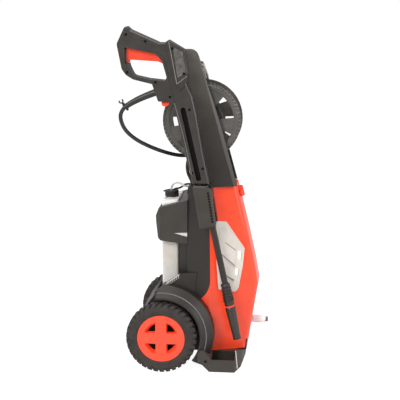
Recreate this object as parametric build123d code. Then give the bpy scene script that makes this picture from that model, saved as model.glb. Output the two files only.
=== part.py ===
from build123d import *
import math
import os

# Upright electric pressure washer.  Millimetres, +Z up, +X to the machine's front,
# -Y to the side that carries the spray gun ("right"), +Y to the crank side ("left").
# Outlines are drawn in side view as (x, z), with x counted from the wheel axle and z from the floor.
# The saved parts are shifted along X so that the middle of the whole length is at x = 0.

# ---------------------------------------------------------------- driving dimensions
GUN_REAR_X = -110.0          # rearmost point of the machine, the heel of the gun's grip
INLET_TIP_X = 265.0          # foremost point, the end of the water inlet
SHIFT_X = -(GUN_REAR_X + INLET_TIP_X) / 2

WHEEL_R = 90.0
TYRE_INNER_R = 61.0
WHEEL_IN_Y = 125.0           # inner face of a tyre
WHEEL_OUT_Y = 165.0          # outer face of a tyre
TREAD_BLOCKS = 26
TREAD_GAP = 7.0              # width of the channel between two tread blocks
AXLE_R = 6.0
AXLE_Z = WHEEL_R
RUN_FIT = 0.06               # radial running clearance of shafts

WALL = 3.0                   # moulded wall
BODY_TOP = 467.0
BODY_BOTTOM = 39.0
SEAM_X = 118.0               # where the straight sides end and the front begins to narrow
# body sections: height, front x, half width at the seam, half width at the front
SECTIONS = [
    (BODY_BOTTOM, 213.0, 92.0, 60.0),
    (135.0, 228.0, 92.0, 54.0),
    (208.0, 240.0, 90.0, 48.0),
    (265.0, 230.0, 87.0, 46.0),
    (363.0, 208.0, 80.0, 45.0),
    (467.0, 182.0, 72.0, 44.0),
]
FRONT_CORNER_R = 16.0

FENDER_OUT_R = 131.0
FENDER_LIP_R = 101.0
FENDER_Y = 148.0
FENDER_IN_Y = 92.1           # a hair outside the body
FENDER_EDGE_Y = 124.0        # where the band ends and the bevel begins
SHELF_Z = 193.0

FOOT_HALF = 150.0
LEDGE_Z = 33.0
PAD_X, PAD_Y, PAD_R = 155.0, 118.0, 15.0

REEL_X = 92.0
REEL_Z = 632.0
FLANGE_R = 100.0
FLANGE_IN_Y = 32.0
FLANGE_THICK = 5.0
DRUM_R = 27.0
WOUND_R = 56.0
SPOKES = 5
SPOKE_ANGLE = 63.0           # angle of the first spoke above the +X direction

FAR_SPOKE_SHIFT = -45.0      # the left flange is keyed to the drum this much round from the right one

FRONT_BEVEL = 4.5            # bevel of the uprights' outer front edge
UPRIGHT_IN_Y = 50.0
UPRIGHT_OUT_Y = 72.0
UPRIGHT_FRONT_Y = 57.0       # the outer face slants in to this at the front edge

GUN_Y = -105.0
GUN_HALF = 20.0
LANCE_SLOPE = 0.219          # the lance leans forward this much per unit of drop
LANCE_REF = (126.5, 371.0)   # a point (x, z) of the lance's axis
LANCE_TUBE_R = 8.0

HOSE_R = 5.0
FEED_R = 4.0
FEED_PITCH = 10.0
FEED_Y = -43.5

BOTTLE_X0, BOTTLE_X1 = -8.0, 35.0
BOTTLE_HALF_Y = 65.0
BOTTLE_Z0, BOTTLE_Z1 = 198.0, 417.0

NECK_X = 10.0

MOTOR_X = 158.0
MOTOR_R = 46.0
KNOB_Z = 445.0
INLET_Z = 100.0
REAR_LOW_X = -57.0           # lower rear face, between the wheels
GLAND_Y, GLAND_Z = 40.0, 125.0
# outer ends of the rear screws: x of the wall, y, z
REAR_SCREWS = [(60, -54, 450), (60, 54, 450), (REAR_LOW_X, -60, 75), (REAR_LOW_X, 60, 75)]

saved = []


# ---------------------------------------------------------------- helpers
def save(name, shape):
    """Move a finished part into the row frame and write it."""
    placed = Pos(SHIFT_X, 0, 0) * shape
    export_step(placed, f"parts/{name}.step")
    saved.append(name)


def outline(points, radii=None):
    """Side-view face from corner points, with an optional dict of corner index to fillet radius."""
    face = make_face(Polyline(*points, close=True))
    for index, radius in (radii or {}).items():
        corner = Vector(*points[index], 0)
        near = min(face.vertices(), key=lambda v: (Vector(*v.center()) - corner).length)
        face = fillet(near, radius)
    return face


def slab(face, y_low, y_high):
    """Extrude a side-view face between two Y values."""
    plane = Plane(origin=(0, y_high, 0), x_dir=(1, 0, 0), z_dir=(0, -1, 0))
    return extrude(plane * face, amount=y_high - y_low)


def disc(x, z, radius, y_low, y_high):
    """Cylinder along Y."""
    return slab(Pos(x, z) * Circle(radius), y_low, y_high)


def box(x0, x1, y0, y1, z0, z1):
    """Axis-aligned block between limits."""
    return Pos((x0 + x1) / 2, (y0 + y1) / 2, (z0 + z1) / 2) * Box(x1 - x0, y1 - y0, z1 - z0)


def turned(profile, x, z):
    """Revolve (radius, y) points about the Y axis through (x, z)."""
    face = make_face(Polyline(*profile, close=True))
    return Pos(x, 0, z) * revolve(face, Axis.Y)


def mirrored(shape):
    """The same part for the other side of the machine."""
    return mirror(shape, about=Plane.XZ)


def cord_path(points):
    """Straight runs joined by tangent arcs as large as the runs allow; prints the radii."""
    vectors = [Vector(*p) for p in points]
    radii = []
    for before, here, after in zip(vectors, vectors[1:], vectors[2:]):
        turn = math.radians((here - before).get_angle(after - here))
        shorter = min((here - before).length, (after - here).length)
        radii.append(0.45 * shorter / math.tan(turn / 2))
    print("  bend radii", [round(r, 1) for r in radii])
    return FilletPolyline(*points, radius=radii)


def cord(points, radius):
    """A tube along a cord's route."""
    path = cord_path(points)
    section = Plane(origin=path @ 0, z_dir=path % 0) * Circle(radius)
    tube = sweep(section, path=path)
    print("  tube volume ratio", round(tube.volume / (math.pi * radius**2 * path.length), 4))
    return tube


# ---------------------------------------------------------------- body block shared by the mouldings
def body_block(inset):
    """The body's outer form, drawn in by a wall thickness."""
    faces = []
    for index, (z, front, side, nose) in enumerate(SECTIONS):
        height = z
        if index == 0:
            height = z + inset
        if index == len(SECTIONS) - 1:
            height = z - inset
        plan = [
            (-60 + inset, side - inset), (SEAM_X, side - inset), (front - inset, nose - inset),
            (front - inset, inset - nose), (SEAM_X, inset - side), (-60 + inset, inset - side),
        ]
        radius = FRONT_CORNER_R - inset
        faces.append(Pos(0, 0, height) * outline(plan, {2: radius, 3: radius}))
    return loft(faces, ruled=True)


def seam_region():
    """Side-view region behind the seam between rear housing and front cover."""
    wheel_r = 118.0
    start, end = math.radians(43.6), math.radians(-30)
    meet = (wheel_r * math.cos(start), AXLE_Z + wheel_r * math.sin(start))
    middle = (wheel_r * math.cos((start + end) / 2), AXLE_Z + wheel_r * math.sin((start + end) / 2))
    foot = (wheel_r * math.cos(end), AXLE_Z + wheel_r * math.sin(end))
    edges = [
        Line((112, 500), (SEAM_X, 306)),
        Line((SEAM_X, 306), (SEAM_X + 1, 226)),
        ThreePointArc((SEAM_X + 1, 226), (110, 194), meet),
        ThreePointArc(meet, middle, foot),
        Line(foot, (foot[0], 0)),
        Line((foot[0], 0), (-200, 0)),
        Line((-200, 0), (-200, 500)),
        Line((-200, 500), (112, 500)),
    ]
    return make_face(edges)


def knob_place():
    """Frame on the sloping front face, Z outwards, at the rotary switch."""
    lower, upper = SECTIONS[4], SECTIONS[5]
    ratio = (KNOB_Z - lower[0]) / (upper[0] - lower[0])
    x = lower[1] + ratio * (upper[1] - lower[1])
    slope = (lower[1] - upper[1]) / (upper[0] - lower[0])
    normal = Vector(1, 0, slope).normalized()
    return Plane(origin=(x, 0, KNOB_Z), x_dir=(0, 1, 0), z_dir=normal)


# ---------------------------------------------------------------- body mouldings
REAR_PROFILE = [(60, 500), (260, 500), (260, 0), (-57, 0), (-57, 142), (-20, 193), (60, 193)]
# side panel: slanted louvre steps as (x, z, length), and the two small pockets near the front edge
LOUVRES = [(164, 318, 30), (172, 296, 22), (158, 262, 30), (168, 238, 22), (160, 212, 20)]
LOUVRE_FALL = -39
INSERT_POCKETS = [
    [(188, 300), (198, 299), (196, 273), (187, 282)],
    [(182, 253), (192, 252), (189, 230), (181, 238)],
]
PANEL_OUTLINE = [(132, 380), (158, 377), (205, 305), (201, 261), (191, 203), (183, 193), (140, 202), (135, 268)]


def make_rear_housing(block, hollow):
    """Black rear shell with its back wall, seat for the shelf and the axle's bosses."""
    region = seam_region()
    outer = outline(REAR_PROFILE)
    inner = offset(outer, -WALL)
    solid = (block & slab(region, -200, 200)) & slab(outer, -200, 200)
    cavity = hollow & slab(inner, -200, 200)
    shell = solid - cavity
    boss = disc(0, AXLE_Z, 14, -92, -70) + disc(0, AXLE_Z, 14, 70, 92)
    shell += boss
    shell -= disc(0, AXLE_Z, AXLE_R + 0.1, -200, 200)
    shell += box(38, 61, -76, 76, BOTTLE_Z0 + 0.1, 320.8)
    shell -= box(38 + WALL, 64, -76 + WALL, 76 - WALL, BOTTLE_Z0 + WALL, 320.8 - WALL)
    shell += box(-57, 60, -92, 92, 24, BODY_BOTTOM + 0.5)
    shell -= box(-57 + WALL, 60 - WALL, -92 + WALL, 92 - WALL, 20, BODY_BOTTOM)
    for x, y, z in REAR_SCREWS:
        shell -= Pos(x, y, z) * Rot(0, 90, 0) * Cylinder(3.1, 12)
    shell -= box(64.5, 85, FEED_Y - 6, FEED_Y + 6, BODY_TOP - 7, BODY_TOP + 3)
    shell -= Pos(REAR_LOW_X, GLAND_Y, GLAND_Z) * Rot(0, 90, 0) * Cylinder(8.1, 12)
    return shell


def make_front_cover(block, hollow):
    """Red front shell with openings for the side panels, knob spindle and inlet."""
    shell = (block - hollow) - slab(seam_region(), -200, 200)
    window = offset(outline(PANEL_OUTLINE), -7)
    shell -= slab(window, -200, -20)
    shell -= slab(window, 20, 200)
    shell -= knob_place() * Cylinder(6.3, 40)
    shell -= Pos(228, 0, INLET_Z) * Rot(0, 90, 0) * Cylinder(9, 60)
    return shell


def make_side_panel(wide, block, skim):
    """Light grey grille on the cover's slanting side: shallow louvre steps and pockets, no through slots."""
    face = outline(PANEL_OUTLINE, {0: 4, 1: 8, 2: 8, 4: 6, 5: 5, 6: 4})
    skin = (wide - block) & slab(face, -200, -20)
    outer = wide - skim
    for x, z, length in LOUVRES:
        slot = Pos(x, z) * Rot(0, 0, LOUVRE_FALL) * SlotOverall(length, 4)
        skin -= slab(slot, -200, -20) & outer
    for corners in INSERT_POCKETS:
        skin -= slab(outline(corners), -200, -20) & outer
    return skin


def make_bottle_shelf():
    """Tray between the wheel arches that the bottle stands on, with a raised rear rim."""
    floor = box(-18, 57, -FENDER_IN_Y, FENDER_IN_Y, SHELF_Z, BOTTLE_Z0)
    return floor + box(-18, -14, -FENDER_IN_Y, FENDER_IN_Y, SHELF_Z, 207)


def make_fender(foot_side, wide):
    """Wheel arch: cylindrical band with a bevelled lip, closed at the back, with the tray's rim on top."""
    edge = FENDER_EDGE_Y
    profile = [
        (FENDER_OUT_R, -FENDER_IN_Y), (FENDER_OUT_R, -edge), (FENDER_LIP_R + 2, -FENDER_Y),
        (FENDER_LIP_R - 3, -FENDER_Y), (FENDER_LIP_R - 3, -FENDER_Y + 4), (FENDER_LIP_R + 1, -FENDER_Y + 4),
        (FENDER_OUT_R - 3, -edge + 2), (FENDER_OUT_R - 3, -FENDER_IN_Y),
    ]
    ring = make_face(Polyline(*profile, close=True))
    start = 98
    sweep_angle = 136
    band = Pos(0, 0, AXLE_Z) * (Rot(0, -start, 0) * revolve(ring, Axis.Y, sweep_angle))
    rim = outline([(-18, 184), (90, 184), (90, 247), (42, 247), (-18, 207)])
    plan = make_face(Polyline((-18, -edge), (90, -87), (90, -83), (-18, -edge + 4), close=True))
    plate = (slab(rim, -200, 0) & extrude(plan, amount=300)) - wide
    plate -= disc(0, AXLE_Z, FENDER_OUT_R - 1, -200, 200)
    back = box(-18, -14, -edge - 18, -FENDER_IN_Y, 184, 212)
    arch = band + plate + back
    arch -= slab(outline([(-100, 152.3), (42, 247), (42, 300), (-100, 300)]), -200, -60)
    return arch - slab(offset(foot_side, 0.05), -200, 0)


def foot_outline():
    """Side view of the base: kicked-up toe, corner post and ledge."""
    return outline([
        (90, 33), (122, 1.5), (187, 1.5), (201, 10), (212, 36), (214, 63), (189, 63),
        (189, LEDGE_Z), (128, LEDGE_Z), (105, 58), (98, 58), (93, 48),
    ])


def make_base_foot(side, wide):
    """Black base: low block with a deep pocket on each side, corner posts and a kicked-up toe."""
    foot = slab(side, -FOOT_HALF, FOOT_HALF)
    foot += box(104, 205, -90, 90, 12, BODY_BOTTOM)
    foot -= box(126, 184, -84, 84, 0, 26)
    for side_sign in (-1, 1):
        low, high = sorted((side_sign * 90, side_sign * (FOOT_HALF - 4)))
        foot -= box(126, 185, low, high, 8, LEDGE_Z + 5)
        slope = [(side_sign * (FOOT_HALF + 1), 63), (side_sign * 60, 34), (side_sign * 60, 80)]
        slope.append((side_sign * (FOOT_HALF + 1), 80))
        wedge = extrude(Plane.YZ.offset(187) * make_face(Polyline(*slope, close=True)), amount=40)
        foot -= wedge
        foot -= disc(113, 29, 4, side_sign * FOOT_HALF - 6, side_sign * FOOT_HALF + 6)
        foot -= Pos(PAD_X, side_sign * PAD_Y, 2) * Cylinder(PAD_R, 4)
    foot -= wide
    plan = make_face(Polyline(
        (60, -FOOT_HALF), (186, -FOOT_HALF), (204, -FOOT_HALF + 26), (216, -FOOT_HALF + 60),
        (216, FOOT_HALF - 60), (204, FOOT_HALF - 26), (186, FOOT_HALF), (60, FOOT_HALF), close=True))
    return foot & extrude(plan, amount=90)


def make_bottle_holder():
    """Box that steadies the bottle's shoulder, open top and bottom, with a bulged back."""
    side = outline([
        (-11, 415), (60, 435), (60, 321), (37, 322), (-9, 328), (-17, 334), (-22, 374), (-23, 391), (-15, 411),
    ])
    plan = make_face(Polyline((-11, -85), (70, -85), (70, 85), (-11, 85), (-24, 71), (-24, -71), close=True))
    shell = slab(side, -85, 85) & extrude(plan, amount=500)
    shell -= box(BOTTLE_X0 - 2, BOTTLE_X1 + 2, -BOTTLE_HALF_Y - 2, BOTTLE_HALF_Y + 2, 300, 460)
    shell -= box(BOTTLE_X1 + 6, 56, -81, 81, 300, 424)
    recess = outline([(22, 349), (70, 351), (70, 338), (50, 341)])
    shell -= slab(recess, -90, -84.0)
    shell -= slab(recess, 84.0, 90)
    return shell


# ---------------------------------------------------------------- uprights and grip
RIGHT_UPRIGHT = [
    (24, 815), (80, 815), (92, 782), (103, 742), (128, 667), (154, 585), (180, 490), (184.5, 467.3),
    (88, 467.3), (70, 548), (47, 641), (32, 703), (20, 760),
]
LEFT_UPRIGHT = [
    (40, 776), (87, 776), (100, 737), (124, 667), (150, 585), (176, 490), (181, 467.3),
    (88, 467.3), (70, 548), (50, 641), (38, 703),
]


def upright_body(face, y_out):
    """One column from its side outline; the outer face slants inwards to the front edge."""
    column = slab(face, -y_out, -UPRIGHT_IN_Y)
    lean = Vector(0.263, 0, -0.965)
    front = Vector(0.965, 0, 0.263)
    angle = math.atan2(UPRIGHT_OUT_Y - UPRIGHT_FRONT_Y, 58.0)
    normal = Vector(0, -math.cos(angle), 0) + front * math.sin(angle)
    point = Vector(128, -UPRIGHT_FRONT_Y + (y_out - UPRIGHT_OUT_Y) * -1, 667)
    plane = Plane(origin=point, x_dir=lean, z_dir=normal)
    column = split(column, bisect_by=plane, keep=Keep.BOTTOM)
    bevel = (front - Vector(0, 1, 0)).normalized()
    edge_plane = Plane(origin=point - front * FRONT_BEVEL, x_dir=lean, z_dir=bevel)
    return split(column, bisect_by=edge_plane, keep=Keep.BOTTOM)


def make_right_upright():
    """Wide smooth column behind the gun, open on its inner side, with the swivel's boss."""
    face = outline(RIGHT_UPRIGHT, {0: 18, 1: 22})
    solid = upright_body(face, UPRIGHT_OUT_Y)
    hollow = upright_body(offset(face, -WALL - 1), UPRIGHT_OUT_Y - WALL)
    shell = solid - hollow
    shell += disc(REEL_X, REEL_Z, 20, -62, -UPRIGHT_IN_Y)
    shell -= disc(REEL_X, REEL_Z, 9.1, -58, -40)
    shell += disc(60, 776, 17, -62, -UPRIGHT_IN_Y)
    return shell


def make_left_upright():
    """Narrower column on the crank side with cross ribs on its inner side."""
    face = outline(LEFT_UPRIGHT, {0: 12, 1: 6})
    solid = upright_body(face, UPRIGHT_OUT_Y - 6)
    hollow = upright_body(offset(face, -WALL - 1), UPRIGHT_OUT_Y - 6 - WALL)
    shell = solid - hollow
    rib = Box(220, 12, 2.4)
    for index in range(17):
        z = 486 + 17 * index
        shell += Pos(100, -UPRIGHT_IN_Y - 3, z) * rib & solid
    shell += disc(REEL_X, REEL_Z, 19, -65, -UPRIGHT_IN_Y) & solid
    shell += disc(60, 776, 17, -60, -UPRIGHT_IN_Y) & solid
    shell -= disc(REEL_X, REEL_Z, 9 + RUN_FIT, -90, -40)
    return mirrored(shell)


def make_grip_bar():
    """Cross grip between the uprights, with raised rings."""
    reach = UPRIGHT_IN_Y
    profile = [(0, -reach)]
    steps = 12
    for index in range(steps):
        y = -reach + 2 * reach * index / steps
        profile.append((13.5, y))
        profile.append((13.5, y + 2))
        profile.append((15, y + 3))
        profile.append((15, y + 6.6))
    profile.append((13.5, reach))
    profile.append((0, reach))
    return turned(profile, 60, 776)


# ---------------------------------------------------------------- wheels
def make_wheel_hub():
    """Domed disc with four funnel-walled quarter windows round a cross, a rim barrel and an axle bore."""
    face_y = -WHEEL_OUT_Y + 3
    profile = [
        (0, face_y - 0.5), (14, face_y - 0.5), (38, face_y + 1.5), (46, face_y), (TYRE_INNER_R, face_y),
        (TYRE_INNER_R, -WHEEL_IN_Y - 2), (TYRE_INNER_R - 4, -WHEEL_IN_Y - 2), (TYRE_INNER_R - 6, face_y + 12),
        (48, face_y + 12), (17, face_y + 12), (15, -WHEEL_IN_Y - 1), (0, -WHEEL_IN_Y - 1),
    ]
    hub = turned(profile, 0, AXLE_Z)
    outer = hub_window(13.5, 46.5)
    inner = hub_window(16, 37)
    for quarter in range(4):
        mouth, throat = (
            Plane(origin=(0, y, AXLE_Z), x_dir=(1, 0, 0), z_dir=(0, -1, 0)) * (Rot(0, 0, 90 * quarter) * face)
            for y, face in ((face_y - 2, outer), (face_y + 14, inner))
        )
        hub -= loft([mouth, throat])
    hub -= disc(0, AXLE_Z, AXLE_R + RUN_FIT, -156, -100)
    return hub


def hub_window(half_spoke, reach):
    """One quarter opening of the wheel hub, between two spokes of the cross."""
    far = math.sqrt(reach**2 - half_spoke**2)
    mid = reach * math.sqrt(0.5)
    window = make_face([
        Line((half_spoke, half_spoke), (far, half_spoke)),
        ThreePointArc((far, half_spoke), (mid, mid), (half_spoke, far)),
        Line((half_spoke, far), (half_spoke, half_spoke)),
    ])
    return fillet(window.vertices(), 2)


def make_tyre():
    """Rubber ring with smooth sidewalls and two rows of coarse tread blocks that reach over the shoulders."""
    outer = [
        (TYRE_INNER_R, -WHEEL_OUT_Y + 4), (68, -WHEEL_OUT_Y), (79, -WHEEL_OUT_Y + 0.6),
        (WHEEL_R - 2, -WHEEL_OUT_Y + 5), (WHEEL_R, -WHEEL_OUT_Y + 11), (WHEEL_R, -WHEEL_IN_Y - 11),
        (WHEEL_R - 2, -WHEEL_IN_Y - 5), (79, -WHEEL_IN_Y - 0.6), (68, -WHEEL_IN_Y), (TYRE_INNER_R, -WHEEL_IN_Y - 4),
    ]
    tyre = turned(outer, 0, AXLE_Z)
    gap = Box(TREAD_GAP, 24, 9)
    for index in range(TREAD_BLOCKS):
        turn = 360 * index / TREAD_BLOCKS
        near = Rot(0, turn, 0) * Pos(0, -WHEEL_OUT_Y + 5, WHEEL_R + 1) * Rot(0, 0, 24) * gap
        far = Rot(0, turn + 180 / TREAD_BLOCKS, 0) * Pos(0, -WHEEL_IN_Y - 5, WHEEL_R + 1) * Rot(0, 0, 24) * gap
        tyre -= Pos(0, 0, AXLE_Z) * near
        tyre -= Pos(0, 0, AXLE_Z) * far
    return tyre


# ---------------------------------------------------------------- hose reel
def flange_window():
    """Opening between two spokes: a ring sector with rounded corners, centred on +X."""
    inner, outer = 31.0, 80.0
    half_in, half_out = math.radians(18), math.radians(24.5)
    corners = []
    for radius, angle in ((inner, half_in), (outer, half_out)):
        corners.append((radius * math.cos(angle), radius * math.sin(angle)))
    (ix, iy), (ox, oy) = corners
    face = make_face([
        ThreePointArc((ix, -iy), (inner, 0), (ix, iy)),
        Line((ix, iy), (ox, oy)),
        ThreePointArc((ox, oy), (outer, 0), (ox, -oy)),
        Line((ox, -oy), (ix, -iy)),
    ])
    return fillet(face.vertices(), 4)


def make_flange():
    """Reel side disc: rim with a turned-over edge, wide spokes and a hub, at y below zero."""
    low = -FLANGE_IN_Y - FLANGE_THICK
    profile = [
        (12, low + 1), (44, low + 1), (81, low + 2), (85, low), (FLANGE_R, low),
        (FLANGE_R, -FLANGE_IN_Y + 4), (FLANGE_R - 2.5, -FLANGE_IN_Y + 4), (FLANGE_R - 2.5, -FLANGE_IN_Y),
        (12, -FLANGE_IN_Y),
    ]
    disc_shape = turned(profile, 0, 0)
    for index in range(SPOKES):
        angle = SPOKE_ANGLE + 36 + 72 * index
        disc_shape -= slab(Rot(0, 0, angle) * flange_window(), -60, 0)
    for index in range(40):
        angle = 9 * index
        notch = Rot(0, angle, 0) * Pos(FLANGE_R + 1, low + 2, 0) * Box(4, 6, 3)
        disc_shape -= notch
    return Pos(REEL_X, 0, REEL_Z) * disc_shape


def turned_flange(flange, angle):
    """The flange turned about the reel's axis, seen in side view, before it goes to the other side."""
    return Pos(REEL_X, 0, REEL_Z) * Rot(0, -angle, 0) * Pos(-REEL_X, 0, -REEL_Z) * flange


def make_drum():
    """Barrel between the flanges with the spindle that goes through the left upright."""
    length = FLANGE_IN_Y - 0.1
    barrel = disc(REEL_X, REEL_Z, DRUM_R, -length, length)
    barrel -= disc(REEL_X, REEL_Z, DRUM_R - 3, -length - 1, length - 4)
    hub = disc(REEL_X, REEL_Z, 12, -length, length)
    hub += disc(REEL_X, REEL_Z, 9, length, 76)
    drum = barrel + hub
    drum -= disc(REEL_X, REEL_Z, 6 + RUN_FIT, -60, -8)
    return drum


def make_wound_hose():
    """Closed outer form of the hose wound in layers, ribbed by its turns."""
    turns = 6
    pitch = 2 * (FLANGE_IN_Y - 1) / turns
    profile = [(DRUM_R + 0.1, -FLANGE_IN_Y + 1), (WOUND_R - 3, -FLANGE_IN_Y + 1)]
    for index in range(turns):
        y = -FLANGE_IN_Y + 1 + pitch * index
        profile.append((WOUND_R - 1, y + 0.2 * pitch))
        profile.append((WOUND_R, y + 0.5 * pitch))
        profile.append((WOUND_R - 1, y + 0.8 * pitch))
        profile.append((WOUND_R - 3, y + pitch))
    profile.append((DRUM_R + 0.1, FLANGE_IN_Y - 1))
    return turned(profile, REEL_X, REEL_Z)


def make_swivel():
    """Fixed water joint: plug into the drum and a block with two ports for the feed hoses."""
    joint = disc(REEL_X, REEL_Z, 6, -44, -12) + disc(REEL_X, REEL_Z, 9, -58, -38.5)
    block = Pos(REEL_X - 6, -43.5, REEL_Z - 12) * Box(22, 9, 16)
    return joint + block


def crank_end():
    """Centre (x, z) of the crank's knob."""
    angle = math.radians(24)
    return REEL_X + 74 * math.cos(angle), REEL_Z + 74 * math.sin(angle)


def make_crank_arm():
    """Flat arm outside the left upright, with the pin that the knob turns on."""
    x, z = crank_end()
    arm = slab(make_hull([
        *(Pos(REEL_X, REEL_Z) * Circle(17)).edges(),
        *(Pos(x, z) * Circle(11)).edges(),
    ]), 76, 84)
    arm += disc(x, z, 4, 84, 118)
    arm += disc(x, z, 6, 118, 120)
    return arm


def make_crank_knob():
    """Free-turning handle of the crank."""
    x, z = crank_end()
    profile = [(4 + RUN_FIT, 84.5), (13, 84.5), (14, 88), (12, 101), (14, 113), (12, 117.5), (4 + RUN_FIT, 117.5)]
    return turned(profile, x, z)


# ---------------------------------------------------------------- gun and lance
GUN_OUTLINE = [
    (-88, 877), (-110, 831), (-98, 769), (-88, 755), (-70, 744), (-23, 733), (-8, 690), (23, 690),
    (32, 681), (52, 591), (77, 484), (119, 484), (102, 566), (87, 654), (76, 704), (62, 733), (66, 761),
    (56, 818), (17, 841), (10, 834), (-5, 834), (-76, 865),
]
FINGER_OUTLINE = [
    (-90, 823), (-50, 815), (-13, 808), (3, 789), (14, 750), (9, 741), (-31, 745), (-69, 753), (-79, 774),
    (-81.5, 783), (-90, 783),
]
TRIGGER_OUTLINE = [
    (-86, 828), (-50, 822), (-8, 812), (0, 802), (3, 783), (-8, 788), (-43, 790), (-79, 792), (-81, 785), (-87, 785),
]
TRIGGER_PIN = (-5, 803)
LOCK_PIN = (-83, 790)
SCREW_PLACES = [(-86, 854), (-38, 838), (29, 821), (57, 760), (-84, 762), (-14, 738), (22, 702), (70, 671), (103, 524),
                (57.6, 594), (77.6, 513)]
# raised plate on the gun's head and the shallow panel let into it
HEAD_PLATE = [(9, 850), (70, 850), (75, 761), (64, 735), (46, 718), (31, 748)]
HEAD_PANEL = [(22, 820), (50, 814), (60, 762), (41, 750)]
HEAD_RISE = 2.6


def gun_face():
    """Side view of the gun's two half shells, outer form only."""
    radii = {0: 6, 1: 14, 2: 16, 3: 12, 4: 14, 6: 3, 15: 6, 16: 6, 17: 4, 18: 3}
    return outline(GUN_OUTLINE, radii)


def make_gun_half(screwed):
    """One half shell of the gun: hollow moulding with finger opening, trigger slot and screw bosses.

    The screwed half has wells for the screw heads, the other one blind holes.
    """
    face = gun_face()
    finger = outline(FINGER_OUTLINE, {4: 7, 5: 7, 7: 14})
    low = GUN_Y - GUN_HALF
    shell = slab(face, low, GUN_Y)
    rim = [edge for edge in shell.edges() if abs(edge.center().Y - low) < 0.01]
    shell = chamfer(rim, 2.5)
    shell -= slab(offset(face, -4) - offset(finger, 4), low + 4, GUN_Y)
    for x, z in SCREW_PLACES:
        shell += disc(x, z, 4.5, low + 2, GUN_Y) & slab(offset(face, -1), low, GUN_Y)
    if screwed:
        slot = Pos(73.5, 584.5) * Rot(0, 0, -77.4) * SlotOverall(188, 13)
        shell += slab(offset(slot, 2.5), low + 4, low + 9.5)
        shell -= slab(slot, low - 1, low + 7)
        plate = offset(face, -2.6) & outline(HEAD_PLATE)
        shell += slab(plate, low - HEAD_RISE, low)
        shell -= slab(outline(HEAD_PANEL), low - 3, low + 1.5)
    shell -= slab(finger, low - 3, GUN_Y + 1)
    shell -= slab(offset(outline(TRIGGER_OUTLINE), 1.5), GUN_Y - 9, GUN_Y + 1)
    shell -= slab(outline([(-100, 848), (0, 826), (6, 800), (-88, 800)]), GUN_Y - 9, GUN_Y + 1)
    shell -= lance_piece([(0, -260), (4.2, -260), (4.2, -100), (0, -100)])
    shell -= disc(TRIGGER_PIN[0], TRIGGER_PIN[1], 2.55, GUN_Y - 14.1, GUN_Y + 1)
    shell -= slab(outline([(1.5, 680), (14.5, 680), (14.5, 702), (1.5, 702)]), GUN_Y - 7.5, GUN_Y + 1)
    shell -= sleeve_root(5.1)
    for x, z in SCREW_PLACES:
        if screwed:
            shell -= disc(x, z, 2.6, low - 3, low + 8)
            shell -= disc(x, z, 1.5, low, GUN_Y + 1)
        else:
            shell -= disc(x, z, 1.5, low + 8, GUN_Y + 1)
    return shell


def make_left_gun_half():
    """Blind half shell, on the machine's side."""
    return mirror(make_gun_half(False), about=Plane(origin=(0, GUN_Y, 0), x_dir=(1, 0, 0), z_dir=(0, 1, 0)))


def make_trigger():
    """Bar that is pulled up into the grip; turns on a pin at its front end."""
    bar = slab(outline(TRIGGER_OUTLINE, {0: 3, 3: 5}), GUN_Y - 8, GUN_Y + 8)
    bar -= disc(TRIGGER_PIN[0], TRIGGER_PIN[1], 2.5 + RUN_FIT, -200, 200)
    bar -= slab(outline([(-95, 780), (-77.5, 780), (-77.5, 796.5), (-95, 796.5)]), GUN_Y - 3.4, GUN_Y + 3.4)
    bar -= disc(LOCK_PIN[0], LOCK_PIN[1], 1.2 + RUN_FIT, -200, 200)
    return bar


def lance_axis():
    """Frame whose Z runs down the lance's axis, at the lance's reference point."""
    down = Vector(LANCE_SLOPE, 0, -1).normalized()
    origin = Vector(LANCE_REF[0], GUN_Y, LANCE_REF[1])
    return Plane(origin=origin, x_dir=(0, 1, 0), z_dir=down)


def lance_piece(profile):
    """Revolve (radius, distance along the lance) points about the lance's axis."""
    face = Plane.XZ * make_face(Polyline(*profile, close=True))
    return lance_axis() * revolve(face, Axis.Z)


def make_gun_valve():
    """Brass valve under the trigger with the pipe that leads to the lance."""
    pipe = lance_piece([(0, -372), (8, -372), (8, -335), (4, -333), (4, -108.5), (0, -108.5)])
    body = slab(outline([(14, 800), (44, 800), (50, 716), (24, 716)]), GUN_Y - 9, GUN_Y + 9)
    return body + pipe


def make_trigger_lock():
    """Small flap in the trigger's free end, on its own pin."""
    x, z = LOCK_PIN
    flap = slab(outline([(x - 2, z + 4), (x + 4, z + 3), (x + 4, z - 4), (x - 2.5, z - 5)]), GUN_Y - 3, GUN_Y + 3)
    return flap + disc(x, z, 1.2, GUN_Y - 7, GUN_Y + 7)


def make_release_button():
    """Red button under the hose inlet; pressed upwards it frees the hose."""
    cap = outline([(-1, 687.4), (19, 687.4), (18, 682), (10, 676), (1, 679)], {3: 3})
    stem = outline([(2, 687), (14, 687), (14, 698), (2, 698)])
    return slab(cap, GUN_Y - 9, GUN_Y + 9) + slab(stem, GUN_Y - 7, GUN_Y + 7)


def make_gun_screws():
    """Countersunk screws down in the wells of the right half shell."""
    screws = None
    for x, z in SCREW_PLACES:
        screw = disc(x, z, 2.4, GUN_Y - GUN_HALF + 5, GUN_Y - GUN_HALF + 7.9)
        screw += disc(x, z, 1.4, GUN_Y - GUN_HALF + 7.9, GUN_Y - 1)
        screws = screw if screws is None else screws + screw
    return screws


def sleeve_station(x, z, lean):
    """Cross-section plane of the bend sleeve; lean is the drop per unit of travel."""
    return Plane(origin=(x, GUN_Y, z), x_dir=(0, 1, 0), z_dir=Vector(-1, 0, -lean).normalized())


# bend sleeve stations: x, z, drop per unit of travel, radius
SLEEVE_STATIONS = [(-16.2, 711.3, 0.35, 9.0), (-45, 700, 0.43, 8.4), (-72, 687, 0.58, 7.6), (-95, 672, 1.16, 7.0)]


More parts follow.
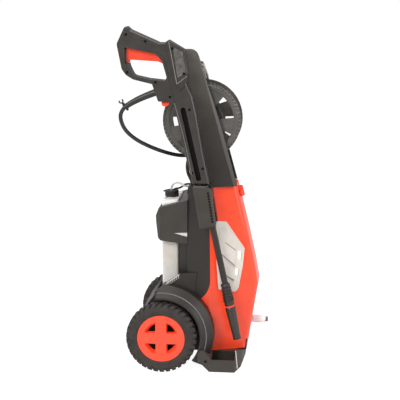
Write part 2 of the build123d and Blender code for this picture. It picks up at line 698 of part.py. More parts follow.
def sleeve_root(radius):
    """The sleeve's plug inside the gun."""
    x, z, lean, _ = SLEEVE_STATIONS[0]
    return sleeve_station(x, z, lean) * (Pos(0, 0, -6) * Cylinder(radius, 14))


def make_hose_sleeve():
    """Tapered rubber bend sleeve where the hose leaves the gun."""
    sections = [sleeve_station(x, z, lean) * Circle(radius) for x, z, lean, radius in SLEEVE_STATIONS]
    sleeve = loft(sections) + sleeve_root(5)
    hook = disc(-103.5, 688, 6, GUN_Y - 3, GUN_Y + 3) - disc(-103.5, 688, 3.4, GUN_Y - 5, GUN_Y + 5)
    hook -= slab(outline([(-103.5, 688), (-98, 700), (-114, 700), (-116, 691)]), GUN_Y - 5, GUN_Y + 5)
    arm = slab(outline([(-99.5, 686), (-102, 683), (-97, 675), (-91, 680)]), GUN_Y - 3, GUN_Y + 3)
    return sleeve + hook + arm + disc(-87.5, 667.8, 3.2, GUN_Y - 2.5, GUN_Y + 2.5)


def make_lance_tube():
    """Bayonet nut, pipe and rear end of the lance."""
    return lance_piece([
        (0, -108.5), (13, -108.5), (14, -100), (13, -44), (11, -34), (LANCE_TUBE_R, -28), (LANCE_TUBE_R, 150), (0, 150),
    ])


def make_nozzle_collar():
    """Collar that turns to change the jet, gripped by rings cut into blocks."""
    profile = [(0, 150.2), (10, 150.2)]
    for index in range(6):
        along = 153 + 8 * index
        radius = 12 + 0.4 * index
        profile += [(radius, along), (radius, along + 4.5), (radius - 2.4, along + 5), (radius - 2.4, along + 7.5)]
    profile += [(13, 202), (12.5, 208), (0, 208)]
    collar = lance_piece(profile)
    for index in range(14):
        turn = 360 * index / 14
        collar -= lance_axis() * Rot(0, 0, turn) * Pos(13.6, 0, 176) * Box(3.6, 2, 50)
    return collar


def make_nozzle():
    """Long nozzle with a waist and a slightly flared mouth."""
    return lance_piece([
        (0, 213.2), (11.5, 213.2), (13.3, 216), (13, 226), (11.4, 262), (10.2, 290), (10.5, 300), (6, 300), (4, 285), (0, 285),
    ])


def make_holster():
    """Sleeve on the body's side that the lance drops into, with a row of small holes."""
    side = outline([(77, 481), (110, 480), (124, 472), (137, 384), (128, 376), (96, 367)], {0: 4, 4: 6, 5: 5})
    holster = slab(side, -131, -UPRIGHT_OUT_Y)
    rim = [edge for edge in holster.edges() if abs(edge.center().Y + 131) < 0.01]
    holster = chamfer(rim, 3)
    holster -= lance_piece([(0, -200), (17.5, -200), (17.5, 100), (0, 100)])
    for index in range(11):
        ratio = index / 10
        holster -= disc(117 + 11 * ratio, 463 - 72 * ratio, 2.2, -135, -100)
    return holster


# ---------------------------------------------------------------- bottle
def make_bottle():
    """Flat translucent tank with a sloping shoulder and a round neck; a thin-walled hollow."""
    def tank(inset):
        width = BOTTLE_X1 - BOTTLE_X0 - 2 * inset
        depth = 2 * BOTTLE_HALF_Y - 2 * inset
        middle = (BOTTLE_X0 + BOTTLE_X1) / 2
        body = RectangleRounded(width, depth, 9 - inset)
        top = RectangleRounded(width - 12, depth - 60, 8 - inset)
        low = extrude(Pos(middle, 0, BOTTLE_Z0 + inset) * body, amount=BOTTLE_Z1 - BOTTLE_Z0 - inset)
        shoulder = loft([Pos(middle, 0, BOTTLE_Z1) * body, Pos(middle, 0, 428 - inset) * top])
        return low + shoulder

    bottle = tank(0) - tank(2)
    bottle += Pos(NECK_X, 0, 433) * Cylinder(13, 16)
    bottle -= Pos(NECK_X, 0, 433) * Cylinder(10.5, 30)
    return bottle


def make_bottle_cap():
    """Screw cap with grip ribs and a hole for the suction tubes."""
    cap = Pos(NECK_X, 0, 436.1) * Cylinder(18, 15.6)
    cap += Pos(NECK_X - 18, 0, 441.5) * Box(8, 7, 3)
    cap -= Pos(NECK_X, 0, 434.6) * Cylinder(13 + 0.3, 13)
    cap -= Pos(NECK_X, 0, 440) * Cylinder(8, 20)
    for index in range(16):
        turn = 360 * index / 16
        cap -= Pos(NECK_X, 0, 434) * Rot(0, 0, turn) * Pos(18.6, 0, 0) * Cylinder(1.7, 12)
    return cap


CLEAR_TUBE = [
    (8, -3, 360), (8.5, -3, 395), (8, -3, 428), (8.5, -4, 449), (14, -8, 461), (25, -13, 467), (38, -19, 465),
    (47, -22, 458.5), (60, -22, 458.5),
]
BLACK_TUBE = [
    (13, 3, 370), (12.6, 3.2, 405), (13, 3, 440), (17, 3.5, 447.4), (27, 4, 448), (36, 4.5, 452), (45, 5, 460.5), (60, 5, 460.5),
]
TUBE_R = 2.6


# ---------------------------------------------------------------- front controls and water inlet
def make_power_knob():
    """Rotary switch knob with a raised grip bar and a spindle into the switch box."""
    knob = Pos(0, 0, 4.75) * Cylinder(15, 7.5)
    knob = chamfer([e for e in knob.edges() if e.center().Z > 8.4], 1.5)
    knob += Pos(0, 0, 9) * Box(6, 26, 4)
    knob += Pos(0, 0, -7) * Cylinder(6, 16.2)
    return knob_place() * knob


def make_switch_box():
    """Closed switch body behind the knob."""
    body = Pos(0, 0, -19) * Box(36, 30, 30)
    body -= Pos(0, 0, -7) * Cylinder(6.3, 18.2)
    return knob_place() * body


def make_inlet_fitting():
    """Garden hose fitting of the water inlet."""
    profile = [(4.5, 196), (8.7, 196), (8.7, 226), (10, 226), (10, 250), (8.5, 252), (7.5, 253), (7.5, 259), (4.5, 259)]
    return Pos(0, 0, INLET_Z) * turned_x(profile)


def make_inlet_thread():
    """Threaded end piece of the inlet with the strainer's open mouth."""
    profile = [(4.5, 259), (7, 259)]
    for index in range(2):
        x = 259.8 + 2.4 * index
        profile += [(7, x), (6.2, x + 0.6), (6.2, x + 1.2), (7, x + 1.8)]
    profile += [(7, INLET_TIP_X), (4.5, INLET_TIP_X)]
    return Pos(0, 0, INLET_Z) * turned_x(profile)


def turned_x(profile):
    """Revolve (radius, x) points about the X axis."""
    face = make_face(Polyline(*[(x, radius) for radius, x in profile], close=True))
    return revolve(face, Axis.X)


# ---------------------------------------------------------------- motor and pump
def post(radius, z0, z1, x=MOTOR_X, y=0.0):
    """Upright cylinder between two heights."""
    return Pos(x, y, (z0 + z1) / 2) * Cylinder(radius, z1 - z0)


def make_motor_can():
    """Stator can with end plates, bearing holes and a skirt that joins the pump."""
    can = post(MOTOR_R, 225, 345) - post(MOTOR_R - 3, 229, 341)
    can += post(MOTOR_R, 203.2, 225) - post(MOTOR_R - 4, 203.2, 225)
    can += post(MOTOR_R - 3, 250, 320) - post(39, 250, 320)
    return can - post(6 + RUN_FIT, 200, 360)


def make_motor_rotor():
    """Laminated rotor on its shaft."""
    return post(37.5, 252, 318) + post(6, 218, 366)


def make_cooling_fan():
    """Fan above the motor: hub, disc and straight blades."""
    fan = post(12, 349, 362) + post(38, 349, 351)
    for index in range(8):
        fan += Pos(MOTOR_X, 0, 356) * Rot(0, 0, 45 * index) * Pos(24, 0, 0) * Box(27, 2, 11)
    return fan - post(6, 340, 370)


def make_swash_plate():
    """Tilted thrust disc on the shaft's lower end, which drives the pistons."""
    blank = post(28, 206, 226)
    top = Plane(origin=(MOTOR_X, 0, 216), x_dir=(1, 0, 0), z_dir=(0.0, 0.0, 1.0))
    plate = split(blank, bisect_by=top, keep=Keep.BOTTOM) + post(12, 216, 224)
    return plate - post(6, 218, 230)


def make_pump_body():
    """Cylinder block with three bores."""
    block = post(42, 130, 203)
    for x, y in piston_places():
        block -= post(7, 140, 204, x, y)
    return block


def piston_places():
    """Centres of the three pump pistons."""
    places = []
    for index in range(3):
        turn = math.radians(120 * index + 60)
        places.append((MOTOR_X + 21 * math.cos(turn), 21 * math.sin(turn)))
    return places


def make_pump_pistons():
    """Three plungers, each in its own bore."""
    pistons = None
    for x, y in piston_places():
        piston = post(6.9, 150, 205.7, x, y)
        pistons = piston if pistons is None else pistons + piston
    return pistons


def make_pump_head():
    """Valve head under the cylinder block, with its inlet and outlet ports."""
    head = box(MOTOR_X - 38, MOTOR_X + 38, -36, 36, BODY_BOTTOM + WALL + 1, 130)
    head = chamfer(head.edges().filter_by(Axis.Z), 8)
    head -= Pos(194, 0, INLET_Z) * Rot(0, 90, 0) * Cylinder(8, 10)
    return head


def make_pressure_pipe():
    """Steel pipe from the pump head up to the block that the feed hoses plug into."""
    points = [
        (120, -20, 100), (104, -20, 100), (93, -25, 113), (87, -30, 145), (84, -34, 200), (82, -37, 255),
        (81, -40, 310), (81, -42, 365), (80, -43, 425),
    ]
    pipe = cord(points, 4.5)
    return pipe + box(64, 98, -51, -36, 420, 438)


# ---------------------------------------------------------------- hoses and small hardware
HOSE_ROUTE = [
    (-95.4, GUN_Y, 671.5), (-105.5, GUN_Y, 660), (-105, GUN_Y, 638), (-93, GUN_Y + 1, 613), (-68, -100, 591), (-38, -87, 573),
    (-7, -62, 556), (22, -29, 542), (49, -17, 538), (76, -15, 546), (99, -14, 561), (120, -13, 576),
]
FEED_ROUTE = [
    (80, 612), (80, 590), (73, 566), (62, 545), (54.5, 522), (56, 498), (66, 479), (71, 461), (71, 438),
]


def make_feed_hoses():
    """Two hoses side by side from the swivel block down into the rear housing."""
    hoses = None
    for shift in (0, FEED_PITCH):
        points = [(x + shift, FEED_Y, z) for x, z in FEED_ROUTE]
        hose = cord(points, FEED_R)
        hoses = hose if hoses is None else hoses + hose
    return hoses


def make_wheel_axle():
    """Steel axle through the rear housing."""
    return disc(0, AXLE_Z, AXLE_R, -155.5, 155.5)


def make_axle_washers():
    """Thrust washers between housing and hubs."""
    washers = None
    for y in (-124.2, 122.2):
        ring = disc(0, AXLE_Z, 12, y, y + 2) - disc(0, AXLE_Z, AXLE_R + 0.1, y - 1, y + 3)
        washers = ring if washers is None else washers + ring
    return washers


def make_rubber_feet():
    """Soft pads pressed into the base."""
    pads = None
    for y in (-PAD_Y, PAD_Y):
        pad = Pos(PAD_X, y, 2) * Cylinder(PAD_R, 4)
        pads = pad if pads is None else pads + pad
    return pads


def make_housing_screws():
    """Pan-head screws in the rear wall."""
    screws = None
    for x, y, z in REAR_SCREWS:
        screw = Pos(x - 1.5, y, z) * Rot(0, 90, 0) * Cylinder(5.5, 3)
        screw += Pos(x + 6, y, z) * Rot(0, 90, 0) * Cylinder(3, 14)
        screws = screw if screws is None else screws + screw
    return screws


def make_cable_gland():
    """Round cable entry in the rear wall, empty."""
    ring = turned_x([(5, -10), (9, -10), (11, 0), (6, 0), (5, -2)])
    ring += turned_x([(5, -3), (8, -3), (8, 6), (5, 6)])
    return Pos(REAR_LOW_X, GLAND_Y, GLAND_Z) * ring


# ---------------------------------------------------------------- everything is written here
def make_all():
    """Build every piece and write it."""
    block = body_block(0)
    hollow = body_block(WALL)
    wide = body_block(-2.6)

    save("rear_housing", make_rear_housing(block, hollow))
    save("front_cover", make_front_cover(block, hollow))
    foot_side = foot_outline()
    save("base_foot", make_base_foot(foot_side, body_block(-0.05)))
    save("bottle_shelf", make_bottle_shelf())
    save("bottle_holder", make_bottle_holder())
    save("holster", make_holster() - block)
    save("right_upright", make_right_upright())
    save("left_upright", make_left_upright())
    save("grip_bar", make_grip_bar())

    sides = {"right": lambda shape: shape, "left": mirrored}
    fender = make_fender(foot_side, body_block(-0.05))
    panel = make_side_panel(wide, block, body_block(-1.2))
    hub = make_wheel_hub()
    tyre = make_tyre()
    for side, place in sides.items():
        save(f"{side}_fender", place(fender))
        save(f"{side}_side_panel", place(panel))
        save(f"{side}_wheel_hub", place(hub))
        save(f"{side}_tyre", place(tyre))
    save("wheel_axle", make_wheel_axle())
    save("axle_washers", make_axle_washers())
    save("rubber_feet", make_rubber_feet())
    save("housing_screws", make_housing_screws())

    flange = make_flange()
    save("right_reel_flange", flange)
    save("left_reel_flange", mirrored(turned_flange(flange, FAR_SPOKE_SHIFT)))
    save("reel_drum", make_drum())
    save("wound_hose", make_wound_hose())
    save("reel_swivel", make_swivel())
    save("crank_arm", make_crank_arm())
    save("crank_knob", make_crank_knob())

    save("right_gun_shell", make_gun_half(True))
    save("left_gun_shell", make_left_gun_half())
    save("gun_valve", make_gun_valve())
    save("trigger", make_trigger())
    save("trigger_lock", make_trigger_lock())
    save("trigger_pin", disc(TRIGGER_PIN[0], TRIGGER_PIN[1], 2.5, GUN_Y - 14, GUN_Y + 14))
    save("hose_release_button", make_release_button())
    save("gun_screws", make_gun_screws())
    save("hose_sleeve", make_hose_sleeve())
    save("lance_tube", make_lance_tube())
    save("nozzle_collar", make_nozzle_collar())
    save("nozzle_ring", lance_piece([(0, 208.2), (11.5, 208.2), (11.5, 213), (0, 213)]))
    save("nozzle", make_nozzle())

    save("bottle", make_bottle())
    save("bottle_cap", make_bottle_cap())
    save("clear_tube", cord(CLEAR_TUBE, TUBE_R))
    save("black_tube", cord(BLACK_TUBE, TUBE_R))

    save("power_knob", make_power_knob())
    save("switch_box", make_switch_box())
    save("inlet_fitting", make_inlet_fitting())
    save("inlet_thread", make_inlet_thread())
    save("cable_gland", make_cable_gland())

    save("motor_can", make_motor_can())
    save("motor_rotor", make_motor_rotor())
    save("cooling_fan", make_cooling_fan())
    save("swash_plate", make_swash_plate())
    save("pump_body", make_pump_body())
    save("pump_pistons", make_pump_pistons())
    save("pump_head", make_pump_head())
    save("pressure_pipe", make_pressure_pipe())
    save("feed_hoses", make_feed_hoses())
    save("hose_run", cord(HOSE_ROUTE, HOSE_R))


os.makedirs("parts", exist_ok=True)
make_all()
print(len(saved), "parts written")
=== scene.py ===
"""Finishes, hoses, lights and camera of an upright pressure washer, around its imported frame."""

import math

import bmesh
import bpy
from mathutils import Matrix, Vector


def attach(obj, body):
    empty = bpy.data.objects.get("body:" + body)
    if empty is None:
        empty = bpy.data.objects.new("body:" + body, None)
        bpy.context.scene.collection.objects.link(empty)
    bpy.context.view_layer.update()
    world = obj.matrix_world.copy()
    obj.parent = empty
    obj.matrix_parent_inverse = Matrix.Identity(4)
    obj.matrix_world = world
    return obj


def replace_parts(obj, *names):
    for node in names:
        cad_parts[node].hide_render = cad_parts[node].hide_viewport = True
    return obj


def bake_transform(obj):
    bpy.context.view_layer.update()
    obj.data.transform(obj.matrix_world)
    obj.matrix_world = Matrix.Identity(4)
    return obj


bl_info = {
    "name": "Pressure washer dressing",
    "version": (1, 0, 0),
    "blender": (4, 5, 0),
    "location": "3D View > Sidebar > Washer",
    "description": "Finishes and soft parts of an upright pressure washer",
    "category": "Object",
}

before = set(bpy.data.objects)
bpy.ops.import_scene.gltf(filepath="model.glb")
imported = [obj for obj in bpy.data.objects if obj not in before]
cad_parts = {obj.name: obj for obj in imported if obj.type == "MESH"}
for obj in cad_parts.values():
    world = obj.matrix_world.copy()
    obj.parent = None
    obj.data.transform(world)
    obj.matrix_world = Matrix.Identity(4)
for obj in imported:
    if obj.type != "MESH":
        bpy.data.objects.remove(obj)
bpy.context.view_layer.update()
SHIFT_X = -77.5


# ---------------------------------------------------------------- colours and node helpers
def colour(code):
    """Linear colour from a six-digit sRGB code."""
    parts = [int(code[i:i + 2], 16) / 255 for i in (0, 2, 4)]
    linear = [c / 12.92 if c <= 0.04045 else ((c + 0.055) / 1.055) ** 2.4 for c in parts]
    return (*linear, 1.0)


def add(tree, kind, settings, links=()):
    """Add a shader node, set its properties and sockets, and link each (socket, source) pair into it."""
    node = tree.nodes.new("ShaderNode" + kind)
    for key, value in settings.items():
        if isinstance(key, str) and hasattr(node, key):
            setattr(node, key, value)
        else:
            node.inputs[key].default_value = value
    for key, source in links:
        tree.links.new(source, node.inputs[key])
    return node


def surface(name, codes, roughness, patch, grain, relief, edge, sockets, climb=None):
    """New material whose colour drifts through the codes over patches, with grain and rounded edges.

    patch, grain, relief and edge are in millimetres; sockets holds what is the same all over. With climb, two
    heights in metres, the colour goes from the first code to the last between them.
    """
    material = bpy.data.materials.new(name)
    material.use_nodes = True
    tree = material.node_tree
    shader = tree.nodes["Principled BSDF"]
    for key, value in sockets.items():
        shader.inputs[key].default_value = value
    place = add(tree, "TexCoord", {}).outputs["Object"]
    drift = add(tree, "TexNoise", {"Scale": 1000 / patch}, [("Vector", place)]).outputs["Fac"]
    share = add(tree, "MapRange", {"From Min": 0.35, "From Max": 0.65}, [("Value", drift)]).outputs["Result"]
    if climb:
        height = add(tree, "SeparateXYZ", {}, [("Vector", place)]).outputs["Z"]
        rise = add(tree, "MapRange", {"From Min": climb[0], "From Max": climb[1]}, [("Value", height)])
        share = add(
            tree, "Math", {"operation": "MULTIPLY_ADD", "use_clamp": True, 1: 0.12},
            [(0, share), (2, rise.outputs["Result"])]).outputs["Value"]
    ramp = add(tree, "ValToRGB", {}, [("Fac", share)])
    stops = ramp.color_ramp.elements
    for index, code in enumerate(codes):
        stop = stops[index] if index < 2 else stops.new(1.0)
        stop.position = index / (len(codes) - 1)
        stop.color = colour(code)
    worn = add(tree, "MapRange", {"To Min": roughness - 0.05, "To Max": roughness + 0.07}, [("Value", drift)])
    fine = add(tree, "TexNoise", {"Scale": 1000 / grain, "Detail": 3.0}, [("Vector", place)])
    rounded = add(tree, "Bevel", {"samples": 4, "Radius": edge / 1000})
    bump = add(
        tree, "Bump", {"Distance": relief / 1000},
        [("Height", fine.outputs["Fac"]), ("Normal", rounded.outputs["Normal"])])
    tree.links.new(ramp.outputs["Color"], shader.inputs["Base Color"])
    tree.links.new(worn.outputs["Result"], shader.inputs["Roughness"])
    tree.links.new(bump.outputs["Normal"], shader.inputs["Normal"])
    return material


def dress(material, *nodes):
    """Give CAD nodes a material."""
    for name in nodes:
        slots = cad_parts[name].data.materials
        slots.clear()
        slots.append(material)


# ---------------------------------------------------------------- building helpers
def metres(points):
    """Route points in millimetres from the wheel axle, brought to the row frame in metres."""
    return [((x + SHIFT_X) / 1000, y / 1000, z / 1000) for x, y, z in points]


def flexible(name, points, radius, material):
    """Hose or tube on one smooth curve."""
    curve = bpy.data.curves.new(name, "CURVE")
    curve.dimensions = "3D"
    spline = curve.splines.new("NURBS")
    spline.points.add(len(points) - 1)
    for point, place in zip(spline.points, points):
        point.co = (*place, 1.0)
    spline.order_u = 3
    spline.use_endpoint_u = True
    spline.resolution_u = 12
    curve.bevel_depth = radius
    curve.bevel_resolution = 5
    curve.use_fill_caps = True
    curve.materials.append(material)
    piece = bpy.data.objects.new(name, curve)
    bpy.context.scene.collection.objects.link(piece)
    return piece


def smooth_length(points):
    """Length of the quadratic curve that flexible() draws through its control points."""
    places = [Vector(p) for p in points]
    knots = [places[0]]
    knots += [(a + b) / 2 for a, b in zip(places[1:-2], places[2:-1])]
    knots.append(places[-1])
    total = 0.0
    for start, control, end in zip(knots, places[1:-1], knots[1:]):
        last = start
        for step in range(1, 21):
            t = step / 20
            here = start * (1 - t) ** 2 + control * 2 * t * (1 - t) + end * t ** 2
            total += (here - last).length
            last = here
    return total


# body sections in millimetres: height, front x, half width at the seam, half width at the front
SECTIONS = (
    (39, 213, 92, 60), (135, 228, 92, 54), (208, 240, 90, 48), (265, 230, 87, 46), (363, 208, 80, 45),
    (467, 182, 72, 44),
)
SEAM_X = 118


def body_half(x, z):
    """Half width of the body's slanting side at a place in side view, in millimetres."""
    for lower, upper in zip(SECTIONS, SECTIONS[1:]):
        if z <= upper[0]:
            break
    share = (z - lower[0]) / (upper[0] - lower[0])
    front, side, nose = (a + (b - a) * share for a, b in zip(lower[1:], upper[1:]))
    return side + (nose - side) * max(0, x - SEAM_X) / (front - SEAM_X)


def block(form, lower, upper):
    """Add a solid between two loops of the same number of points, in axle millimetres."""
    rings = [[form.verts.new(place) for place in metres(loop)] for loop in (lower, upper)]
    form.faces.new(rings[0])
    form.faces.new(rings[1])
    for a, b, c, d in zip(rings[0], rings[0][1:] + rings[0][:1], rings[1][1:] + rings[1][:1], rings[1]):
        form.faces.new((a, b, c, d))


def skin(form, rings, close_ends):
    """Add a lofted surface through rings of the same number of points, in axle millimetres."""
    loops = [[form.verts.new(place) for place in metres(ring)] for ring in rings]
    for low, high in zip(loops, loops[1:]):
        for a, b, c, d in zip(low, low[1:] + low[:1], high[1:] + high[:1], high):
            form.faces.new((a, b, c, d)).smooth = True
    if close_ends:
        form.faces.new(loops[0])
        form.faces.new(loops[-1])


def solid(name, form, material, body, bevel=0.0):
    """Turn a form into a piece that rides on a body; bevel is in metres."""
    bmesh.ops.recalc_face_normals(form, faces=form.faces)
    if bevel:
        bmesh.ops.bevel(form, geom=form.edges[:], offset=bevel, segments=2, affect="EDGES")
    mesh = bpy.data.meshes.new(name)
    form.to_mesh(mesh)
    form.free()
    mesh.materials.append(material)
    piece = bpy.data.objects.new(name, mesh)
    bpy.context.scene.collection.objects.link(piece)
    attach(piece, body)
    return piece


def bar(form, start, end, width, near, far):
    """Thin straight bar between two places in side view, in axle millimetres."""
    run = Vector(end) - Vector(start)
    side = Vector((-run.y, run.x)).normalized() * width / 2
    loop = [Vector(start) + side, Vector(end) + side, Vector(end) - side, Vector(start) - side]
    block(form, *[[(p.x, y, p.y) for p in loop] for y in (near, far)])


def dots(form, places, radius, near, far):
    """Short round pegs along Y at (x, z) places, in axle millimetres."""
    for x, z in places:
        angles = [2 * math.pi * step / 16 for step in range(16)]
        block(form, *[[(x + radius * math.cos(a), y, z + radius * math.sin(a)) for a in angles] for y in (near, far)])


# ---------------------------------------------------------------- what a user would change
class WasherFinishes(bpy.types.PropertyGroup):
    """Colours of the mouldings."""

    cover_red: bpy.props.StringProperty(
        name="Cover red", description="sRGB code of the red mouldings", default="FF4A26")
    frame_black: bpy.props.StringProperty(
        name="Frame black", description="sRGB code of the black mouldings", default="241F1A")
    panel_grey: bpy.props.StringProperty(
        name="Panel grey", description="sRGB code of the side panels", default="D8D0C7")


class WasherHoses(bpy.types.PropertyGroup):
    """Sizes of the hoses."""

    hose_radius: bpy.props.FloatProperty(
        name="Hose radius", description="Radius of the high pressure hose", default=0.005, unit="LENGTH")
    feed_radius: bpy.props.FloatProperty(
        name="Feed hose radius", description="Radius of the two feed hoses", default=0.004, unit="LENGTH")
    tube_radius: bpy.props.FloatProperty(
        name="Suction tube radius", description="Radius of the detergent tubes", default=0.0026, unit="LENGTH")


class WasherCamera(bpy.types.PropertyGroup):
    """Where the camera stands."""

    azimuth: bpy.props.FloatProperty(
        name="Azimuth", description="Turn towards the machine's front", default=math.radians(5.72), subtype="ANGLE")
    elevation: bpy.props.FloatProperty(
        name="Elevation", description="Height angle of the camera", default=math.radians(11.71), subtype="ANGLE")
    distance: bpy.props.FloatProperty(
        name="Distance", description="From the camera to the machine", default=3.0, unit="LENGTH")
    lens: bpy.props.FloatProperty(
        name="Lens", description="Focal length on a 36 mm sensor", default=103.3, unit="CAMERA")


# ---------------------------------------------------------------- camera, floor and light
class WASHER_OT_stage(bpy.types.Operator):
    """Camera, pale floor, plain world and soft lamps"""

    bl_idname = "washer.stage"
    bl_label = "Stage"

    TARGET = (0.0064, 0.0, 0.4186)
    SOFT_LIGHT = 0.42  # strength of the world for everything but the camera
    FLOOR_GREY = 0.85
    FLOOR_GLOW = 1.2
    GLOW_SHARE = 0.8  # part of the floor's look that the glow has for the camera

    def execute(self, context):
        settings = context.scene.washer_camera
        turn, lift = settings.azimuth, settings.elevation
        back = Vector((math.sin(turn) * math.cos(lift), -math.cos(turn) * math.cos(lift), math.sin(lift)))
        target = Vector(self.TARGET)
        data = bpy.data.cameras.new("washer_camera")
        data.lens = settings.lens
        data.sensor_width = 36.0
        data.clip_end = 60.0
        camera = bpy.data.objects.new("washer_camera", data)
        camera.location = target + back * settings.distance
        camera.rotation_euler = back.to_track_quat("Z", "Y").to_euler()
        context.scene.collection.objects.link(camera)
        context.scene.camera = camera
        context.scene.view_settings.view_transform = "Standard"
        self.world(context)
        self.floor(context)
        lamps = [
            ("key_lamp", (-1.5, -2.6, 2.4), 1.4, 78),
            ("top_lamp", (0.2, -0.5, 3.0), 1.4, 34),
            ("front_lamp", (2.4, -0.5, 1.2), 1.0, 27),
            ("rear_lamp", (-1.6, 2.2, 2.2), 1.6, 28),
        ]
        for name, place, size, power in lamps:
            light = bpy.data.lights.new(name, "AREA")
            light.size = size
            light.energy = power
            lamp = bpy.data.objects.new(name, light)
            lamp.location = place
            aim = Vector(place) - Vector((0.0, 0.0, 0.4))
            lamp.rotation_euler = aim.to_track_quat("Z", "Y").to_euler()
            context.scene.collection.objects.link(lamp)
        return {"FINISHED"}

    def world(self, context):
        """White for the camera, softer for lighting and in reflections."""
        world = bpy.data.worlds.new("studio_world")
        world.use_nodes = True
        context.scene.world = world
        nodes, links = world.node_tree.nodes, world.node_tree.links
        shade = nodes["Background"]
        shade.inputs["Strength"].default_value = self.SOFT_LIGHT
        seen = nodes.new("ShaderNodeBackground")
        seen.inputs["Strength"].default_value = 1.0
        seen.inputs["Color"].default_value = (1, 1, 1, 1)
        shade.inputs["Color"].default_value = (1, 1, 1, 1)
        mix = nodes.new("ShaderNodeMixShader")
        ray = nodes.new("ShaderNodeLightPath")
        links.new(ray.outputs["Is Camera Ray"], mix.inputs["Fac"])
        links.new(shade.outputs["Background"], mix.inputs[1])
        links.new(seen.outputs["Background"], mix.inputs[2])
        links.new(mix.outputs["Shader"], nodes["World Output"].inputs["Surface"])

    def floor(self, context):
        """Large pale sheet that keeps the machine's shadow."""
        mesh = bpy.data.meshes.new("floor")
        size = 12.0
        corners = [(-size, -size, 0), (size, -size, 0), (size, size, 0), (-size, size, 0)]
        mesh.from_pydata(corners, [], [(0, 1, 2, 3)])
        sheet = bpy.data.objects.new("floor", mesh)
        context.scene.collection.objects.link(sheet)
        paint = bpy.data.materials.new("floor_white")
        paint.use_nodes = True
        nodes, links = paint.node_tree.nodes, paint.node_tree.links
        shader = nodes["Principled BSDF"]
        shader.inputs["Base Color"].default_value = (*[self.FLOOR_GREY] * 3, 1)
        shader.inputs["Roughness"].default_value = 0.9
        glow = nodes.new("ShaderNodeEmission")
        glow.inputs["Strength"].default_value = self.FLOOR_GLOW
        ray = nodes.new("ShaderNodeLightPath")
        share = nodes.new("ShaderNodeMath")
        share.operation = "MULTIPLY"
        share.inputs[1].default_value = self.GLOW_SHARE
        mix = nodes.new("ShaderNodeMixShader")
        links.new(ray.outputs["Is Camera Ray"], share.inputs[0])
        links.new(share.outputs["Value"], mix.inputs["Fac"])
        links.new(shader.outputs["BSDF"], mix.inputs[1])
        links.new(glow.outputs["Emission"], mix.inputs[2])
        links.new(mix.outputs["Shader"], nodes["Material Output"].inputs["Surface"])
        mesh.materials.append(paint)


# ---------------------------------------------------------------- hoses
class WASHER_OT_hoses(bpy.types.Operator):
    """Free hose from gun to reel, feed hoses and suction tubes"""

    bl_idname = "washer.hoses"
    bl_label = "Hoses"

    def execute(self, context):
        sizes = context.scene.washer_hoses
        # Extruded rubber: smooth and a little shiny, darker and lighter along its length.
        black = surface("rubber_extruded_black", ("1D1A18", "292522"), 0.42, 60, 3, 0.03, 0.5, {"IOR": 1.52})
        # Soft PVC, extruded: clear but clouded, so it looks pale with a bright edge.
        clear = surface(
            "pvc_extruded_clear", ("E6E4DF", "F2F1EC"), 0.2, 20, 5, 0.01, 0.3,
            {"IOR": 1.53, "Transmission Weight": 0.6})
        run = metres([
            (-95.4, -105, 671.5), (-105.5, -105, 660), (-105, -105, 638), (-93, -104, 613), (-68, -100, 591),
            (-38, -87, 573), (-7, -62, 556), (22, -29, 542), (49, -17, 538), (76, -15, 546), (99, -14, 561),
            (120, -13, 576),
        ])
        line, path = self.plain_mesh(context, flexible("hose_line", run, 0.0, black))
        bpy.data.meshes.remove(line)
        mesh, _ = self.plain_mesh(context, flexible("hose_tube", run, sizes.hose_radius, black))
        for face in mesh.polygons:
            face.use_smooth = True
        hose = bpy.data.objects.new("hose_from_gun", mesh)
        context.scene.collection.objects.link(hose)
        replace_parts(hose, "hose_run")
        smooth_length(run)
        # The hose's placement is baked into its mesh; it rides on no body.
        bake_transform(hose)
        for index, shift in enumerate((0, 10)):
            feed = metres([(x + shift, -43.5, z) for x, z in (
                (80, 612), (80, 590), (73, 566), (62, 545), (54.5, 522), (56, 498), (66, 479), (71, 461), (71, 438))])
            piece = flexible(f"feed_hose_{index + 1}", feed, sizes.feed_radius, black)
            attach(piece, "chassis")
            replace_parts(piece, "feed_hoses")
            smooth_length(feed)
        tubes = {
            "clear_tube": (clear, [
                (8, -3, 360), (8.5, -3, 395), (8, -3, 428), (8.5, -4, 449), (14, -8, 461), (25, -13, 467),
                (38, -19, 465), (47, -22, 458.5), (60, -22, 458.5)]),
            "black_tube": (black, [
                (13, 3, 370), (12.6, 3.2, 405), (13, 3, 440), (17, 3.5, 447.4), (27, 4, 448), (36, 4.5, 452),
                (45, 5, 460.5), (60, 5, 460.5)]),
        }
        for node, (material, points) in tubes.items():
            route = metres(points)
            piece = flexible(f"{node}_curve", route, sizes.tube_radius, material)
            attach(piece, "bottle")
            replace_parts(piece, node)
            smooth_length(route)
        dress(black, "wound_hose", "hose_sleeve")
        return {"FINISHED"}

    def plain_mesh(self, context, piece):
        """Mesh of a curve piece and its points; the curve is then removed."""
        mesh = bpy.data.meshes.new_from_object(piece.evaluated_get(context.evaluated_depsgraph_get()))
        bpy.data.objects.remove(piece)
        return mesh, [tuple(point.co) for point in mesh.vertices]


